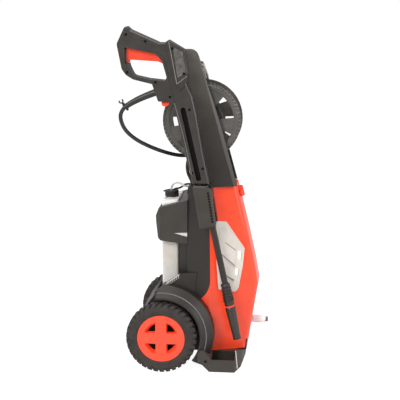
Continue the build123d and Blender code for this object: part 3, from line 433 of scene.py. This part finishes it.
# ---------------------------------------------------------------- mouldings of the body
class WASHER_OT_body(bpy.types.Operator):
    """Finishes of housings, fenders, foot, uprights and side panels; the reel's two flanges"""

    bl_idname = "washer.body"
    bl_label = "Body"

    def execute(self, context):
        colours = context.scene.washer_finishes
        # ABS moulded in a polished tool: one even red with a clear gloss. Its flow marks are 40 mm broad.
        red = surface(
            "abs_moulded_red", (colours.cover_red, "F84622"), 0.34, 40, 6, 0.01, 1.2, {"IOR": 1.53, "Coat Weight": 0.1})
        # The same ABS in a grained tool: deeper and duller, for what a hand touches.
        grip_red = surface("abs_grained_red", ("F03A14", "F6401A"), 0.5, 20, 2, 0.03, 0.8, {"IOR": 1.53})
        # Polypropylene from a spark-eroded tool: near black, soft sheen. The real grain is 0.3 mm and is drawn
        # 3 mm wide to show.
        black = surface(
            "polypropylene_moulded_black", (colours.frame_black, "26211B"), 0.46, 40, 3, 0.04, 1.2, {"IOR": 1.49})
        # The same, a finer grain that looks a shade paler.
        pale = surface("polypropylene_moulded_holder", ("312D27", "37332D"), 0.44, 40, 3, 0.03, 1.5, {"IOR": 1.49})
        # The same with a coarse grain that scatters more light, so that the foot looks dusty.
        foot = surface("polypropylene_moulded_foot", ("34302B", "3C3833"), 0.48, 30, 3, 0.06, 1.0, {"IOR": 1.49})
        # The same, with painted light: its colour goes paler towards the top, a painted highlight where the lamps fall
        # from above.
        column = surface(
            "polypropylene_moulded_column", ("241E18", "332E28", "545049"), 0.46, 50, 3, 0.03, 1.6, {"IOR": 1.49},
            (0.50, 0.80))
        # Glass-filled polyamide: dense dark grey, for the reel that carries load.
        reel = surface("polyamide_moulded_reel", ("4B4844", "57544F"), 0.4, 25, 3, 0.03, 0.8, {"IOR": 1.53})
        # ASA moulding, satin: warm light grey that stays even outdoors.
        grey = surface("asa_moulded_grey", (colours.panel_grey, "CFC7BE"), 0.42, 40, 4, 0.02, 1.0, {"IOR": 1.51})
        dress(red, "front_cover", "right_wheel_hub", "left_wheel_hub", "hose_release_button", "nozzle_ring",
              "power_knob")
        dress(grip_red, "trigger")
        dress(black, "rear_housing", "bottle_shelf", "right_fender", "left_fender", "grip_bar", "crank_knob",
              "bottle_cap", "switch_box")
        dress(pale, "bottle_holder", "holster")
        dress(foot, "base_foot")
        dress(column, "right_upright", "left_upright", "crank_arm", "reel_drum")
        dress(grey, "right_side_panel", "left_side_panel")
        for name, sign, first, half in (("right_flange", -1, -9, 14), ("left_flange", 1, 19.5, 16)):
            form = bmesh.new()
            self.flange(form, sign, first, half)
            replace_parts(solid(name, form, reel, "reel"), name.replace("_", "_reel_"))
        return {"FINISHED"}

    REEL_X = 92
    REEL_Z = 632
    FLANGE_INNER_Y = 32
    SPOKES = 5
    STEPS = 120
    WINDOW_RING = 4  # the ring of the profile that the windows are cut through
    EDGE_RING = 8  # the rings outside this one are notched
    # radius and height of the outer face above the inner one
    PROFILE = (
        (12, 4), (30, 4), (33, 3), (44, 3), (46, 4.2), (82, 4.2), (84, 5), (92, 5), (93.5, 3.4), (96, 4.6),
        (100, 4.6),
    )

    def flange(self, form, sign, first, half):
        """Five-spoked reel side with a lit ring and a notched edge; angles in degrees above +X."""
        sector = 360 / self.SPOKES

        def solid_at(ring, step):
            """Whether the profile's ring has material at this step round the axis."""
            angle = (360 * (step + 0.5) / self.STEPS - first + sector / 2) % sector - sector / 2
            if not 0 <= ring < len(self.PROFILE) - 1:
                return False
            if ring == self.WINDOW_RING:
                return abs(angle) < half
            return True

        corners = {}

        def corner(ring, step, outer):
            """The vertex at a ring and step, on the inner or outer face, made once."""
            key = (ring, step % self.STEPS, outer)
            if key not in corners:
                radius, height = self.PROFILE[ring]
                if ring > self.EDGE_RING and step % 2:
                    height /= 3
                angle = 2 * math.pi * step / self.STEPS
                place = (
                    self.REEL_X + radius * math.cos(angle), sign * (self.FLANGE_INNER_Y + height * outer),
                    self.REEL_Z + radius * math.sin(angle))
                corners[key] = form.verts.new(metres([place])[0])
            return corners[key]

        for ring in range(len(self.PROFILE) - 1):
            for step in range(self.STEPS):
                if not solid_at(ring, step):
                    continue
                for outer in (0, 1):
                    form.faces.new([
                        corner(r, s, outer) for r, s in
                        ((ring, step), (ring + 1, step), (ring + 1, step + 1), (ring, step + 1))])
                edges = (
                    (ring - 1, step, (ring, step), (ring, step + 1)),
                    (ring + 1, step, (ring + 1, step), (ring + 1, step + 1)),
                    (ring, (step - 1) % self.STEPS, (ring, step), (ring + 1, step)),
                    (ring, (step + 1) % self.STEPS, (ring, step + 1), (ring + 1, step + 1)),
                )
                for beside_ring, beside_step, a, b in edges:
                    if not solid_at(beside_ring, beside_step):
                        form.faces.new((corner(*a, 0), corner(*a, 1), corner(*b, 1), corner(*b, 0)))


class WASHER_OT_trims(bpy.types.Operator):
    """Louvres of the side panels; painted highlights on panels, bottle holder, arches, tray rim, foot and edge strip;
    painted shadow under the louvres and painted shade in holes
    """

    bl_idname = "washer.trims"
    bl_label = "Trims"

    # corners as (x, z, rise above the body's side)
    GLINTS = (
        ((188.2, 300.6, 3.2), (197.1, 298.5, 3.2), (194.3, 274.1, 3.2), (186.8, 281.5, 3.2)),
        ((181.4, 255.4, 3.2), (190.3, 254.6, 3.2), (186.8, 232, 3.2), (180.6, 240, 3.2)),
    )
    LOUVRES = (
        ((140, 364, 3.2), (156, 368, 3.2), (184, 326, 3.4), (183.5, 303, 4.2), (182, 262, 5.0), (141, 300, 5.0)),
        ((141, 297.6, 3.0), (182, 259.6, 3.0), (179.5, 224.6, 4.8), (141.6, 251, 4.8)),
        ((141.8, 248.6, 3.0), (179, 222.4, 3.0), (176, 212, 4.2), (166, 205, 4.2), (146, 211, 4.2)),
    )

    # painted shadow strips along the louvres' lower edges, each from one (x, z) to another
    GAPS = (((156, 324), (183, 302)), ((143, 299), (181.6, 261)), ((143, 250), (178.6, 223.5)))
    # the tray rim's wall: half width, the x where it has it, and how much it narrows per millimetre forwards
    RIM_HALF = 124
    RIM_X = -18
    RIM_SLANT = 0.3426

    def execute(self, context):
        finishes = context.scene.washer_finishes
        # Painted highlight: polished ivory facets on the side panels, standing in for the lamps' glints on them.
        ivory = surface("painted_highlight_ivory", ("FFFCF2", "FBF6EA"), 0.28, 30, 4, 0.01, 0.4, {"IOR": 1.53})
        # ABS, satin, plain light grey: painted highlight on edges that catch the lamps, on the tray's rim, the foot's
        # corner, the holder's slope and the left upright's edge strip.
        grey = surface("painted_highlight_light_grey", ("C4C1BB", "CDCAC4"), 0.42, 30, 3, 0.03, 0.4, {"IOR": 1.53})
        # ASA moulding as on the panel; the dark line at each louvre's lower edge is the painted shadow strip in the gap
        # below it.
        plate = surface("asa_moulded_louvre", (finishes.panel_grey, "CCC5BC"), 0.38, 30, 4, 0.02, 0.8, {"IOR": 1.51})
        # Painted shadow: a grey strip in the gaps under the louvres, where their shade falls.
        shade = surface("painted_shadow_grey", ("8C857C", "979087"), 0.6, 30, 4, 0.02, 0.4, {"IOR": 1.51})
        # Painted highlight: a mid grey arc along each fender's arch edge, where it catches the lamps.
        arch_highlight = surface("painted_highlight_arch_edge", ("6B6864", "76736E"), 0.35, 20, 3, 0.02, 0.3, {"IOR": 1.49})
        # Painted shade: near-black, almost without shine, laid in holes and slots where shade falls inside them.
        deep = surface("painted_shade_hole_black", ("0A0807", "0F0D0B"), 0.8, 20, 3, 0.02, 0.3,
            {"IOR": 1.49, "Specular IOR Level": 0.15})
        for side, sign in (("right", -1), ("left", 1)):
            # panel_glints are painted highlights; panel_louvres are the raised louvre plates.
            for label, shapes, material, bevel in (
                    ("panel_glints", self.GLINTS, ivory, 0.0004), ("panel_louvres", self.LOUVRES, plate, 0.0007)):
                form = bmesh.new()
                for corners in shapes:
                    block(form, [(x, sign * (body_half(x, z) + 1.0), z) for x, z, _ in corners],
                          [(x, sign * (body_half(x, z) + rise), z) for x, z, rise in corners])
                solid(f"{side}_{label}", form, material, "chassis", bevel)
            # Painted shadow strips in the gaps under the louvres.
            form = bmesh.new()
            for a, b in self.GAPS:
                places = [(x, z, sign * (body_half(x, z) + 4.9)) for x, z in (a, b)]
                (x0, z0, y0), (x1, z1, y1) = places
                block(form, [(x0, y0 - sign * 2, z0 - 1), (x1, y1 - sign * 2, z1 - 1), (x1, y1 - sign * 2, z1 + 1.2),
                             (x0, y0 - sign * 2, z0 + 1.2)],
                      [(x0, y0, z0 - 1), (x1, y1, z1 - 1), (x1, y1, z1 + 1.2), (x0, y0, z0 + 1.2)])
            solid(f"{side}_panel_gap_shadows", form, shade, "chassis")
            # Painted highlight along each fender's arch edge.
            form = bmesh.new()
            for step in range(30):
                turns = [math.radians(-38 + 4.6 * (step + part)) for part in (0, 1)]
                arc = [(r * math.cos(turn), 90 + r * math.sin(turn)) for r, turn in
                       ((113, turns[0]), (115.2, turns[0]), (115.2, turns[1]), (113, turns[1]))]
                block(form, *[[(x, sign * y, z) for x, z in arc] for y in (139.9, 136.5)])
            bmesh.ops.remove_doubles(form, verts=form.verts, dist=1e-7)
            shared = [face for face in form.faces if sum(len(edge.link_faces) > 2 for edge in face.edges) == 4]
            bmesh.ops.delete(form, geom=shared, context="FACES_ONLY")
            solid(f"{side}_arch_line", form, arch_highlight, "chassis")
            # Painted highlight along the tray rim's top edge and on its short ribs.
            form = bmesh.new()
            self.rim_bar(form, sign, (-17, 206.6), (41, 245.6), 3, 0.5)
            for step in range(12):
                x = -14 + 4.8 * step
                z = 205 + 3.25 * step
                self.rim_bar(form, sign, (x, z), (x + 1.2, z + 0.8), 7, 1.0)
            solid(f"{side}_tray_rim_line", form, grey, "chassis")
            # Painted highlight on the foot's front corner edge.
            form = bmesh.new()
            bar(form, (190, 60), (194.6, 13), 2.2, sign * 150.4, sign * 149)
            solid(f"{side}_foot_facet", form, grey, "chassis")
            # Painted highlight where the holder's slope catches the light.
            form = bmesh.new()
            wedge = [(24, 348.6), (59.5, 350.2), (59.5, 339.2), (49.6, 341.8)]
            block(form, *[[(x, sign * y, z) for x, z in wedge] for y in (83.5, 84.8)])
            solid(f"{side}_holder_slope_highlight", form, grey, "chassis", 0.0003)
        # Ribbed edge strip on the left upright; its light grey is painted highlight on the ribs.
        form = bmesh.new()
        strip = [(81, 770), (88.6, 770), (97, 733), (86.6, 733)]
        block(form, *[[(x, y, z) for x, z in strip] for y in (49.0, 50.2)])
        front = [(88, 770.5), (89, 770.5), (101.4, 735), (100.2, 735)]
        block(form, *[[(x, y, z) for x, z in front] for y in (49.0, 66.0)])
        for step in range(9):
            z = 766 - 4 * step
            x = 89.2 + (770 - z) * 0.227
            rib = [(x - 3, z), (x + 0.4, z), (x + 0.9, z - 2), (x - 2.5, z - 2)]
            block(form, *[[(a, y, b) for a, b in rib] for y in (48.0, 49.4)])
        solid("left_upright_strip", form, grey, "chassis")
        # Painted shade: black discs in the holster's holes and in the hole on the left upright's strip.
        form = bmesh.new()
        dots(form, [(86.2, 762)], 2.2, 47.8, 49.2)
        dots(form, [(117 + 1.1 * step, 463 - 7.2 * step) for step in range(11)], 2.9, -131.25, -129)
        solid("dark_holes", form, deep, "chassis")
        return {"FINISHED"}

    def rim_bar(self, form, sign, start, end, height, proud):
        """Upright bar on the outer face of the tray's rim wall, which slants in towards the front."""
        loops = []
        for lift in (proud, -0.6):
            wall = [(x, sign * (self.RIM_HALF - self.RIM_SLANT * (x - self.RIM_X) + lift), z) for x, z in (start, end)]
            below = [(*wall[1][:2], end[1] - height), (*wall[0][:2], start[1] - height)]
            loops.append([*wall, *below])
        block(form, *loops)


class WASHER_OT_wheels(bpy.types.Operator):
    """Tyres with their tread blocks; finishes of axle, washers, pads, trigger pin and screws"""

    bl_idname = "washer.wheels"
    bl_label = "Wheels"

    AXLE_Z = 90
    MIDDLE_Y = 145
    BLOCKS = 34
    # half section as (radius, distance from the tyre's middle)
    SECTION = (
        (61, 16), (63.5, 19), (67, 20), (69, 19.4), (72, 19.4), (73.5, 20), (78, 19.8), (83, 17.6),
        (85.6, 13.5), (86.2, 8),
    )
    LUG = (
        (77.5, 20), (83, 20), (88, 18), (90, 13.5), (90, 1.2), (85.5, 1.2), (85, 12.5), (82, 17), (78, 18.6),
    )

    def execute(self, context):
        # Moulded tyre rubber: dull, brownish with dust between its blocks.
        tread = surface("rubber_moulded_tyre", ("26221F", "35302B"), 0.72, 16, 2, 0.1, 0.6, {"IOR": 1.52})
        # Zinc-plated steel: bright with fine turning marks.
        steel = surface("steel_zinc_plated", ("C4C1BC", "CECBC6"), 0.3, 8, 1, 0.01, 0.4, {"Metallic": 1.0})
        for side, sign in (("right", -1), ("left", 1)):
            form = bmesh.new()
            half = [(r, d) for r, d in self.SECTION]
            section = half + [(r, -d) for r, d in reversed(half)]
            count = 120
            rings = [
                [self.point(r, d, 2 * math.pi * step / count, sign) for r, d in section] for step in range(count)]
            skin(form, rings + rings[:1], False)
            for flip in (1, -1):
                for index in range(self.BLOCKS):
                    turn = 2 * math.pi * (index + 0.25 * flip) / self.BLOCKS
                    sides = []
                    for edge in (-1, 1):
                        sides.append([
                            self.point(r, flip * d, turn + edge * (0.056 if r < 89 else 0.05) + (20 - d) * 0.0042, sign)
                            for r, d in self.LUG])
                    block(form, *sides)
            bmesh.ops.remove_doubles(form, verts=form.verts, dist=1e-6)
            tyre = solid(f"{side}_tyre_tread", form, tread, f"{side}_wheel")
            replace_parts(tyre, f"{side}_tyre")
        dress(tread, "rubber_feet")
        dress(steel, "wheel_axle", "axle_washers", "trigger_pin")
        # Blackened steel: dark oxide that keeps a faint metal shine.
        oxide = surface("steel_blackened", ("12100D", "171411"), 0.55, 8, 1, 0.02, 0.3, {"Metallic": 0.4})
        dress(oxide, "housing_screws", "gun_screws")
        return {"FINISHED"}

    def point(self, radius, across, angle, sign):
        """Place on the tyre in axle millimetres."""
        return (radius * math.sin(angle), sign * self.MIDDLE_Y + across, self.AXLE_Z + radius * math.cos(angle))


class WASHER_OT_gun(bpy.types.Operator):
    """Gun shells, lance, nozzle and valve"""

    bl_idname = "washer.gun"
    bl_label = "Gun and lance"

    # screw wells in the shell and on the raised head plate, as (x, z)
    WELLS = ((-86, 854), (-38, 838), (-84, 762), (-14, 738), (22, 702), (70, 671), (103, 524))
    HEAD_WELLS = ((29, 821), (57, 760))
    # lines on the shell: seam along the grip, groove behind the head, painted highlight along the rear edge of the
    # barrel
    SEAM = ((-78, 845), (-42, 839), (-35, 832), (0, 822))
    GROOVE = ((-12, 814), (5, 801), (15, 776), (20, 743), (28, 713), (33, 687))
    REAR_EDGE = ((33, 687), (49, 630), (66, 558), (75, 509))

    def execute(self, context):
        # Glass-filled polyamide: tough, dark warm grey, the fibres leave a soft sheen.
        shell = surface("polyamide_moulded_gun", ("28241F", "302B25"), 0.4, 30, 3, 0.03, 1.0, {"IOR": 1.53})
        # Steel tube under black powder coat: darker and smoother than the mouldings beside it.
        coated = surface("steel_powder_coated", ("1F1A15", "27221C"), 0.42, 40, 3, 0.03, 0.5, {"IOR": 1.5})
        # The same polyamide in mid grey: painted highlight on the head's edges and the barrel's rear edge.
        bright = surface("painted_highlight_gun_edges", ("77756F", "827F79"), 0.35, 20, 3, 0.03, 0.5, {"IOR": 1.53})
        # The same in a coarser grain, for the head's panel.
        panel = surface("polyamide_grained_grey", ("3F3D39", "5E5C57"), 0.5, 14, 3, 0.05, 0.5, {"IOR": 1.53})
        # Painted shade: near-black, almost without shine, laid in the slot and the screw wells where shade falls.
        deep = surface("painted_shade_gun_wells", ("0A0807", "0F0D0B"), 0.8, 20, 3, 0.02, 0.3,
            {"IOR": 1.53, "Specular IOR Level": 0.15})
        # Grooves between the gun's mouldings, where the sheen is lost.
        groove = surface("polyamide_groove", ("1A1713", "211E19"), 0.7, 20, 3, 0.02, 0.3, {"IOR": 1.53})
        # Die-cast zinc with a dark coating.
        gunmetal = surface("zinc_cast_dark", ("35322F", "3F3C38"), 0.42, 10, 2, 0.03, 0.4, {"Metallic": 0.8})
        # Turned brass: yellow, with a soft reflection.
        brass = surface("brass_turned", ("B4884A", "BE9150"), 0.3, 8, 1, 0.01, 0.4, {"Metallic": 1.0})
        dress(shell, "right_gun_shell", "left_gun_shell", "trigger_lock", "nozzle_collar", "nozzle")
        dress(coated, "lance_tube")
        dress(gunmetal, "gun_valve")
        dress(brass, "reel_swivel")
        # Painted shade: a near-black inlay on the slot's floor and discs in the screw wells.
        form = bmesh.new()
        slope = math.atan2(-183, 41)
        capsule = []
        for end, start in (((53.6, 675), slope + math.pi / 2), ((93.4, 494), slope - math.pi / 2)):
            for step in range(9):
                angle = start + math.pi * step / 8
                capsule.append((end[0] + 5.9 * math.cos(angle), end[1] + 5.9 * math.sin(angle)))
        block(form, *[[(x, y, z) for x, z in capsule] for y in (-118.6, -117.6)])
        dots(form, self.WELLS, 3.6, -125.2, -124)
        dots(form, self.HEAD_WELLS, 3.6, -128.9, -126.5)
        solid("gun_slot_and_wells", form, deep, "gun")
        form = bmesh.new()
        plate = ((19.5, 838), (57, 820), (66, 755), (39.5, 734))
        block(form, *[[(x, y, z) for x, z in plate] for y in (-128.1, -127.2)])
        solid("gun_head_plate", form, shell, "gun", 0.0003)
        form = bmesh.new()
        inset = ((31, 824), (54, 813.5), (62, 766), (41.5, 751))
        block(form, *[[(x, y, z) for x, z in inset] for y in (-128.7, -127.6)])
        solid("gun_head_panel", form, panel, "gun", 0.0003)
        # Painted highlights along the edges of the head plate and its panel.
        form = bmesh.new()
        lines = (
            ((20, 837), (39.6, 735)), ((39.8, 734.5), (65, 754.5)), ((32, 822), (42, 752)), ((42, 751), (61, 765)),
        )
        for line in lines:
            bar(form, *line, 1.7, -128.6, -127.6)
        solid("gun_head_edges", form, bright, "gun")
        form = bmesh.new()
        for start, end in zip(self.SEAM, self.SEAM[1:]):
            bar(form, start, end, 1.0, -125.15, -124)
        for start, end in zip(self.GROOVE, self.GROOVE[1:]):
            bar(form, start, end, 2.6, -125.15, -124)
        solid("gun_grooves", form, groove, "gun")
        # Painted highlight along the barrel's rear edge.
        form = bmesh.new()
        for start, end in zip(self.REAR_EDGE, self.REAR_EDGE[1:]):
            bar(form, start, end, 1.1, -125.3, -124)
        solid("gun_rear_edge", form, bright, "gun")
        return {"FINISHED"}


class WASHER_OT_bottle(bpy.types.Operator):
    """Detergent bottle"""

    bl_idname = "washer.bottle"
    bl_label = "Bottle"

    # half length, half width, corner radius, height; the last ones are the neck
    LEVELS = (
        (15, 58, 10, 198), (19.5, 63, 11, 198.6), (21.5, 65, 8, 203), (21.5, 65, 6, 214), (21.3, 64.6, 6, 218),
        (21.3, 64.6, 6, 400), (21.5, 65, 6, 404), (21.5, 65, 6, 421), (21, 64.2, 6, 427), (19.5, 61, 7, 430),
        (17, 50, 10, 430.6), (14.5, 26, 14, 428), (13.2, 13.2, 13.1, 427.9), (13, 13, 12.9, 440.8),
    )
    MIDDLE_X = 13.5
    NECK_X = 10

    def ring(self, half_length, half_width, radius, height):
        """Rounded rectangle at a height, 32 points; the neck stands a little behind the middle."""
        middle = self.NECK_X if half_width < 14 else self.MIDDLE_X
        points = []
        for quarter, (along, across) in enumerate(((1, 1), (-1, 1), (-1, -1), (1, -1))):
            for step in range(8):
                angle = math.pi / 2 * (quarter + step / 7)
                points.append((
                    middle + along * (half_length - radius) + radius * math.cos(angle),
                    across * (half_width - radius) + radius * math.sin(angle), height))
        return points

    def execute(self, context):
        # HDPE, blow-moulded: milky, lets light in a little way. Its colour is cool white at the bottom, darker and
        # warmer in the middle of its height and palest at the top.
        milky = surface(
            "hdpe_blown_milky", ("EDEFEE", "E2DED7", "D0C9BF", "D8D2C9", "F0EEE9", "F8F6F1"), 0.32, 35, 30, 0.4, 1.0,
            {
                "IOR": 1.54, "Subsurface Weight": 0.2, "Subsurface Radius": (0.01, 0.01, 0.01),
                "Transmission Weight": 0.05,
            },
            (0.21, 0.43))
        form = bmesh.new()
        skin(form, [self.ring(*level) for level in self.LEVELS], True)
        bottle = solid("bottle_blown", form, milky, "bottle")
        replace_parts(bottle, "bottle")
        return {"FINISHED"}


class WASHER_OT_controls(bpy.types.Operator):
    """Finishes of the water inlet and the cable entry"""

    bl_idname = "washer.controls"
    bl_label = "Controls and inlet"

    def execute(self, context):
        # Unfilled polyamide: cold white, slightly see-through at the edges.
        white = surface("polyamide_moulded_white", ("EDEFF0", "F3F5F5"), 0.3, 20, 4, 0.01, 0.5, {"IOR": 1.53})
        # Polyamide coloured mid grey, satin.
        thread = surface("polyamide_moulded_mid_grey", ("6E6C69", "787672"), 0.42, 20, 3, 0.02, 0.4, {"IOR": 1.53})
        # Soft moulded rubber, dull.
        gland = surface("rubber_moulded_gland", ("201D1B", "2A2623"), 0.65, 15, 2, 0.05, 0.5, {"IOR": 1.52})
        dress(white, "inlet_fitting")
        dress(thread, "inlet_thread")
        dress(gland, "cable_gland")
        return {"FINISHED"}


class WASHER_OT_drive(bpy.types.Operator):
    """Finishes of motor, fan, pump and pressure pipe"""

    bl_idname = "washer.drive"
    bl_label = "Motor and pump"

    def execute(self, context):
        # Steel under grey dipping paint: half metal, half dull.
        painted = surface("steel_painted_grey", ("53514D", "5B5955"), 0.48, 25, 2, 0.03, 0.5, {"Metallic": 0.5})
        # Ground steel: bright, fine lines.
        ground = surface("steel_ground", ("B5B3AE", "BDBBB6"), 0.26, 8, 1, 0.01, 0.3, {"Metallic": 1.0})
        # Die-cast aluminium: grey with a frosted skin.
        cast = surface("aluminium_die_cast", ("A3A3A0", "ADADAA"), 0.52, 12, 2, 0.05, 0.8, {"Metallic": 1.0})
        # Polyamide in plain grey for the fan.
        grey = surface("polyamide_moulded_grey", ("4A4844", "52504B"), 0.5, 20, 3, 0.03, 0.5, {"IOR": 1.53})
        dress(painted, "motor_can")
        dress(ground, "motor_rotor", "swash_plate", "pump_pistons", "pressure_pipe")
        dress(cast, "pump_body", "pump_head")
        dress(grey, "cooling_fan")
        return {"FINISHED"}


# ---------------------------------------------------------------- panel and run
PIECES = (
    WASHER_OT_stage, WASHER_OT_hoses, WASHER_OT_body, WASHER_OT_trims, WASHER_OT_wheels, WASHER_OT_gun,
    WASHER_OT_bottle, WASHER_OT_controls, WASHER_OT_drive,
)
SETTINGS = {"washer_finishes": WasherFinishes, "washer_hoses": WasherHoses, "washer_camera": WasherCamera}


class WASHER_PT_sidebar(bpy.types.Panel):
    """Sizes, colours and the pieces"""

    bl_idname = "WASHER_PT_sidebar"
    bl_label = "Pressure washer"
    bl_space_type = "VIEW_3D"
    bl_region_type = "UI"
    bl_category = "Washer"

    def draw(self, context):
        for name, group in SETTINGS.items():
            box = self.layout.box()
            settings = getattr(context.scene, name)
            for key in group.__annotations__:
                box.prop(settings, key)
        for piece in PIECES:
            self.layout.operator(piece.bl_idname)


def register():
    """Register the settings, the pieces and the panel."""
    for group in SETTINGS.values():
        bpy.utils.register_class(group)
    for name, group in SETTINGS.items():
        setattr(bpy.types.Scene, name, bpy.props.PointerProperty(type=group))
    for piece in PIECES:
        bpy.utils.register_class(piece)
    bpy.utils.register_class(WASHER_PT_sidebar)


def unregister():
    """Take them away again, in reverse order."""
    bpy.utils.unregister_class(WASHER_PT_sidebar)
    for piece in reversed(PIECES):
        bpy.utils.unregister_class(piece)
    for name in SETTINGS:
        delattr(bpy.types.Scene, name)
    for group in SETTINGS.values():
        bpy.utils.unregister_class(group)


def main():
    """Build everything."""
    register()
    bpy.ops.washer.stage()
    bpy.ops.washer.hoses()
    bpy.ops.washer.body()
    bpy.ops.washer.trims()
    bpy.ops.washer.wheels()
    bpy.ops.washer.gun()
    bpy.ops.washer.bottle()
    bpy.ops.washer.controls()
    bpy.ops.washer.drive()


if __name__ == "__main__":
    main()
